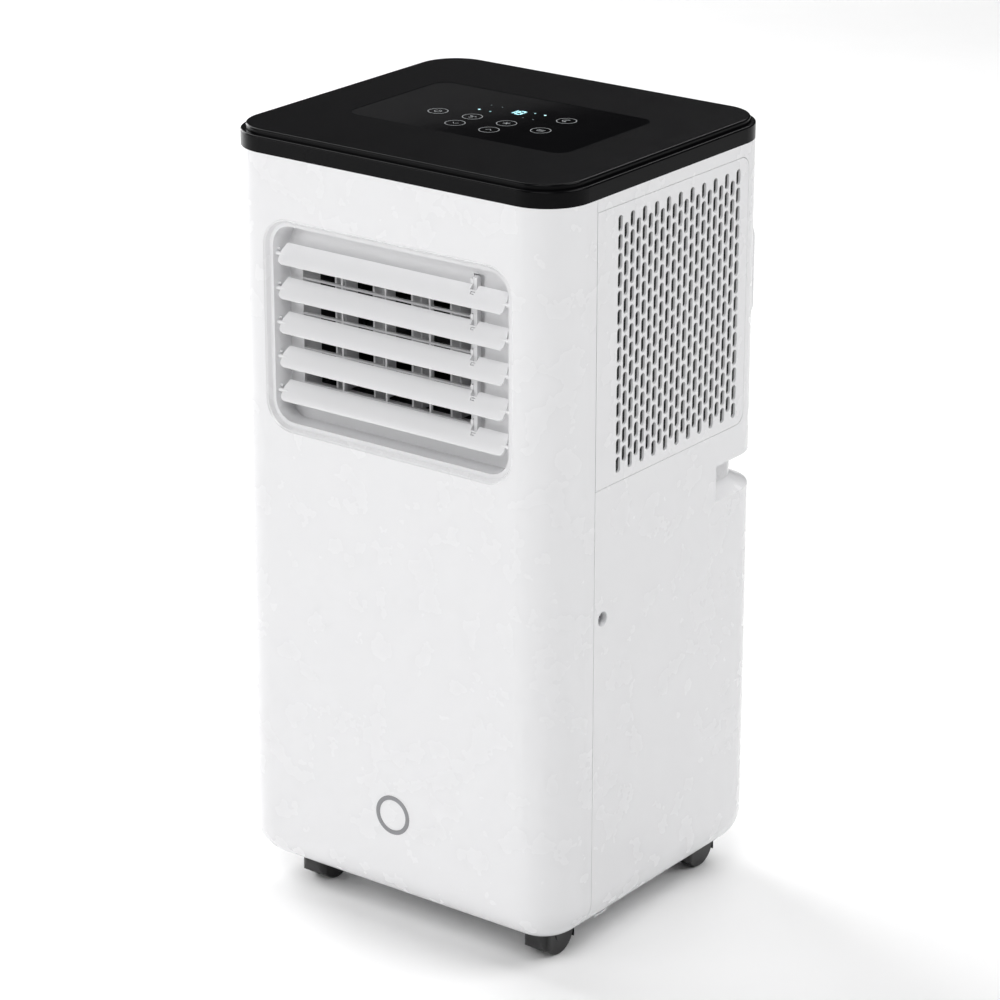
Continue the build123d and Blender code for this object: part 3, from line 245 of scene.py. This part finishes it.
PRINT_LIFT = 0.03
ICON_R = 7.3
ICON_LINE = 0.42
ICON_CORNERS = 48
ICON_CENTRES = {
    "power": (-46.6, -11.4),
    "lower": (-16.2, -30.7),
    "fan": (-17.0, -9.2),
    "raise": (14.6, -31.1),
    "cool": (14.0, -9.5),
    "swing": (45.3, -10.7),
    "night": (44.4, 21.7),
}
DISPLAY_CENTRE = (1.0, 20.0)
DIGIT_HEIGHT = 9.0
DIGIT_WIDTH = 4.6
DIGIT_LINE = 0.9
DIGIT_GAP = 0.35
HALO_LINE = 2.6
HALO_LIFT = 0.015
DIGIT_STEP = 7.0
LAMP_COLUMNS = (-25.5, -15.5, 14.0, 23.0)
LAMP_ROWS = (10.2, 25.0)
LAMP_CORNERS = 24
LAMP_RADII = {"bright": 1.0, "medium": 0.7, "dim": 0.55}
LAMP_LEVELS = {(0, 0): "bright", (3, 1): "bright", (1, 0): "medium", (2, 1): "medium"}


def icon_strokes(kind):
    """Strokes of one touch symbol about its own centre, in millimetres."""
    if kind == "power":
        return [arc_points((0, 0), 2.6, 125, 415), [(0, 0.8), (0, 3.4)]]
    if kind == "lower":
        return [[(-2.4, 1.0), (0, -1.6), (2.4, 1.0)]]
    if kind == "raise":
        return [[(-2.4, -1.0), (0, 1.6), (2.4, -1.0)]]
    if kind == "fan":
        return [arc_points(polar(1.5, turn), 1.5, turn, turn + 190, 14) for turn in (0, 120, 240)]
    if kind == "cool":
        return [[polar(-3, turn), polar(3, turn)] for turn in (0, 60, 120)]
    if kind == "swing":
        return [[(-3, high), (0, low), (3, high)] for high, low in ((1.8, 1.0), (0.2, -0.6), (-1.4, -2.2))]
    return [arc_points((0, 0), 3, 60, 300), arc_points((1.6, 0), 2.6, 92, 268)]


def flat_print(name, strokes, centre, width, material, closed=False, lift=PRINT_LIFT):
    """Strokes printed just above the control glass."""
    vertices = []
    faces = []
    height = GLASS_TOP + lift * MM
    for stroke in strokes:
        points, quads = ribbon(stroke, width, closed)
        start = len(vertices)
        for point in points:
            x = (centre[0] + point.x) * MM
            y = BODY_CENTRE_Y + (centre[1] + point.y) * MM
            vertices.append((x, y, height))
        faces += [tuple(start + corner for corner in quad) for quad in quads]
    return add_mesh(name, vertices, faces, material, "machine")


def digit_strokes(segments, offset):
    """Lit segments of one digit: a top, b and c right, d foot, e and f left, g middle."""
    half_w = DIGIT_WIDTH / 2
    half_h = DIGIT_HEIGHT / 2
    gap = DIGIT_GAP
    ends = {
        "a": ((-half_w + gap, half_h), (half_w - gap, half_h)),
        "b": ((half_w, half_h - gap), (half_w, gap)),
        "c": ((half_w, -gap), (half_w, -half_h + gap)),
        "d": ((-half_w + gap, -half_h), (half_w - gap, -half_h)),
        "e": ((-half_w, -gap), (-half_w, -half_h + gap)),
        "f": ((-half_w, half_h - gap), (-half_w, gap)),
        "g": ((-half_w + gap, 0), (half_w - gap, 0)),
    }
    return [[(x + offset, y) for x, y in ends[key]] for key in segments]


def build_panel():
    """Touch symbols, indicator lamps and the two-digit display."""
    print_ink = glowing("print_grey", (0.42, 0.44, 0.45), 0.16)
    lit = glowing("segment_lit", (0.45, 0.85, 0.92), 1.6)
    lamp_levels = {
        "bright": glowing("lamp_bright", (0.5, 0.85, 0.9), 1.3),
        "medium": glowing("lamp_medium", (0.35, 0.65, 0.7), 0.9),
        "dim": glowing("lamp_dim", (0.10, 0.14, 0.15), 0.5),
    }
    for kind, centre in ICON_CENTRES.items():
        ring = [ring_points(ICON_R, ICON_CORNERS)]
        flat_print(f"symbol_ring_{kind}", ring, centre, ICON_LINE, print_ink, closed=True)
        flat_print(f"symbol_{kind}", icon_strokes(kind), centre, ICON_LINE, print_ink)
    strokes = digit_strokes("bc", -DIGIT_STEP / 2) + digit_strokes("abcdefg", DIGIT_STEP / 2)
    halo = glowing("segment_halo", (0.02, 0.09, 0.11), 0.5)
    flat_print("display_halo", strokes, DISPLAY_CENTRE, HALO_LINE, halo, lift=HALO_LIFT)
    flat_print("display_digits", strokes, DISPLAY_CENTRE, DIGIT_LINE, lit)
    for column, x in enumerate(LAMP_COLUMNS):
        for row, y in enumerate(LAMP_ROWS):
            level = LAMP_LEVELS.get((column, row), "dim")
            radius = LAMP_RADII[level]
            spot = [ring_points(radius / 2, LAMP_CORNERS)]
            flat_print(f"lamp_{column + 1}_{row + 1}", spot, (x, y), radius, lamp_levels[level],
                       closed=True)


# ---------------------------------------------------------------- painted shade liner and filter

SLEEVE_X = (-90.5, 62.0)
SLEEVE_Z = (404.0, 511.0)
LINER_Y = (-95.0, -80.3)
LINER_GAP = 0.05
LINER_WALL = 0.3
FILTER_RIM = 6.0
THREAD_PITCH = 2.0
THREAD_WIDTH = 0.35
THREAD_LIFT = (1.8, 2.1)


def body_point(x, y, z):
    """Point given in millimetres about the casing's middle, in metres."""
    return (x * MM, BODY_CENTRE_Y + y * MM, z * MM)


def build_painted_shade_liner():
    """Black sheet lining the rear of the outlet sleeve: painted shade over the sleeve's inside, standing
    in for the dark void behind the louvres.
    """
    vertices = []
    for inset in (LINER_GAP, LINER_GAP + LINER_WALL):
        left, right = SLEEVE_X[0] + inset, SLEEVE_X[1] - inset
        low, high = SLEEVE_Z[0] + inset, SLEEVE_Z[1] - inset
        outline = ((left, low), (right, low), (right, high), (left, high))
        for y in LINER_Y:
            vertices += [body_point(x, y, z) for x, z in outline]
    faces = []
    for a in range(4):
        b = (a + 1) % 4
        faces += [(a, b, 4 + b, 4 + a), (8 + b, 8 + a, 12 + a, 12 + b), (b, a, 8 + a, 8 + b),
                  (4 + a, 4 + b, 12 + b, 12 + a)]
    # Painted shade: a thin dark shell laid over the sleeve's inside
    add_mesh("painted_shade_liner", vertices, faces, MATERIALS["dark_plastic"], "machine")


def bar_mesh(vertices, faces, low, high):
    """Add one closed box to a mesh under way."""
    start = len(vertices)
    across, along, up = zip(low, high)
    vertices += [(x, y, z) for x in across for y in along for z in up]
    quads = ((0, 1, 3, 2), (4, 6, 7, 5), (0, 4, 5, 1), (2, 3, 7, 6), (0, 2, 6, 4), (1, 5, 7, 3))
    faces += [tuple(start + corner for corner in quad) for quad in quads]


def build_filter_mesh():
    """Woven threads across the dust filter, upright ones and level ones."""
    filter_low, filter_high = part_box("side_filter")
    x = [filter_low.x + lift * MM for lift in THREAD_LIFT]
    y = (filter_low.y + FILTER_RIM * MM, filter_high.y - FILTER_RIM * MM)
    z = (filter_low.z + FILTER_RIM * MM, filter_high.z - FILTER_RIM * MM)
    width = THREAD_WIDTH * MM
    pitch = THREAD_PITCH * MM
    vertices = []
    faces = []
    for index in range(1, int((y[1] - y[0]) / pitch)):
        start = y[0] + index * pitch
        bar_mesh(vertices, faces, (x[0], start, z[0]), (x[1], start + width, z[1]))
    for index in range(1, int((z[1] - z[0]) / pitch)):
        start = z[0] + index * pitch
        bar_mesh(vertices, faces, (x[0], y[0], start), (x[1], y[1], start + width))
    thread = moulded("filter_thread", (0.045, 0.045, 0.047), 0.5)
    add_mesh("filter_mesh", vertices, faces, thread, "side_grille")


# ---------------------------------------------------------------- stage

LIGHT_AIM = Vector((0, 0, 0.3))
LIGHT_DISTANCE = 3.6
LIGHT_SIZE = 2.0
STUDIO_LIGHTS = (
    ("left_low", -100, 12, 88),
    ("left_high", -100, 45, 60),
    ("front_low", -35, 12, 37),
    ("front_high", 25, 45, 64),
    ("right_high", 115, 45, 66),
)
BACKDROP_PLACE = (-1.1, 2.8, 2.6)
BACKDROP_SIZE = 2.0
BACKDROP_POWER = 40
SURROUNDINGS = (0.012, 0.012, 0.0125, 1)
FLOOR_HALF = 14


def heading(azimuth, elevation):
    """Unit vector from the machine: azimuth 0 is in front of it and 90 is on its right."""
    turn = math.radians(azimuth)
    lift = math.radians(elevation)
    return Vector((math.sin(turn) * math.cos(lift), -math.cos(turn) * math.cos(lift), math.sin(lift)))


def soft_light(name, size, power):
    """Square soft light that points down."""
    data = bpy.data.lights.new(name, "AREA")
    data.shape = "SQUARE"
    data.size = size
    data.energy = power
    light = bpy.data.objects.new(name, data)
    bpy.context.scene.collection.objects.link(light)
    return light


def studio_light(name, azimuth, elevation, power):
    """Soft light on a sphere about the machine, aimed at its middle."""
    light = soft_light(name, LIGHT_SIZE, power)
    direction = heading(azimuth, elevation)
    light.location = LIGHT_AIM + direction * LIGHT_DISTANCE
    light.rotation_euler = (-direction).to_track_quat("-Z", "Y").to_euler()


def backdrop_light():
    """Soft light that hangs behind the machine and evens out the floor there."""
    soft_light("backdrop", BACKDROP_SIZE, BACKDROP_POWER).location = BACKDROP_PLACE


CARD_DISTANCE = 3.0
CARD_HALF_WIDTH = 1.2
CARD_BOTTOM = 0.8
CARD_TOP_LEFT = 1.59
CARD_TOP_RIGHT = 1.18


def build_card():
    """Dim card far behind the machine, whose slanting top edge the touch glass mirrors."""
    turn = math.radians(CAMERA_AZIMUTH)
    away = Vector((-math.sin(turn), math.cos(turn), 0))
    across = Vector((math.cos(turn), math.sin(turn), 0))
    outline = ((-CARD_HALF_WIDTH, CARD_BOTTOM), (CARD_HALF_WIDTH, CARD_BOTTOM),
               (CARD_HALF_WIDTH, CARD_TOP_RIGHT), (-CARD_HALF_WIDTH, CARD_TOP_LEFT))
    corners = [away * CARD_DISTANCE + across * side + Vector((0, 0, up)) for side, up in outline]
    mesh = bpy.data.meshes.new("card")
    mesh.from_pydata(corners, [], [(0, 1, 2, 3)])
    card = bpy.data.objects.new("card", mesh)
    bpy.context.scene.collection.objects.link(card)
    mesh.materials.append(glowing("card_grey", (0.01, 0.01, 0.0105), 1.0))


def build_stage():
    """Pale floor, dark surroundings, soft lights, the mirrored card and the camera."""
    scene = bpy.context.scene
    scene.view_settings.view_transform = "Standard"
    world = bpy.data.worlds.new("surroundings")
    world.use_nodes = True
    world.node_tree.nodes["Background"].inputs["Color"].default_value = SURROUNDINGS
    scene.world = world

    signs = ((-1, -1), (1, -1), (1, 1), (-1, 1))
    mesh = bpy.data.meshes.new("floor")
    mesh.from_pydata([(FLOOR_HALF * x, FLOOR_HALF * y, 0) for x, y in signs], [], [(0, 1, 2, 3)])
    floor = bpy.data.objects.new("floor", mesh)
    scene.collection.objects.link(floor)
    mesh.materials.append(moulded("floor_white", (0.93, 0.93, 0.93), 0.6, grain=300, spread=0.004,
                                  specular=0.2))

    for name, azimuth, elevation, power in STUDIO_LIGHTS:
        studio_light(name, azimuth, elevation, power)
    backdrop_light()
    build_card()

    camera_data = bpy.data.cameras.new("camera")
    camera_data.lens = CAMERA_LENS
    camera_data.sensor_width = CAMERA_SENSOR
    camera_data.clip_end = CAMERA_REACH
    camera = bpy.data.objects.new("camera", camera_data)
    scene.collection.objects.link(camera)
    back = heading(CAMERA_AZIMUTH, CAMERA_ELEVATION)
    camera.location = CAMERA_TARGET + back * CAMERA_DISTANCE
    camera.rotation_euler = (-back).to_track_quat("-Z", "Y").to_euler()
    scene.camera = camera


paint_nodes()
build_panel()
build_painted_shade_liner()
build_filter_mesh()
build_stage()
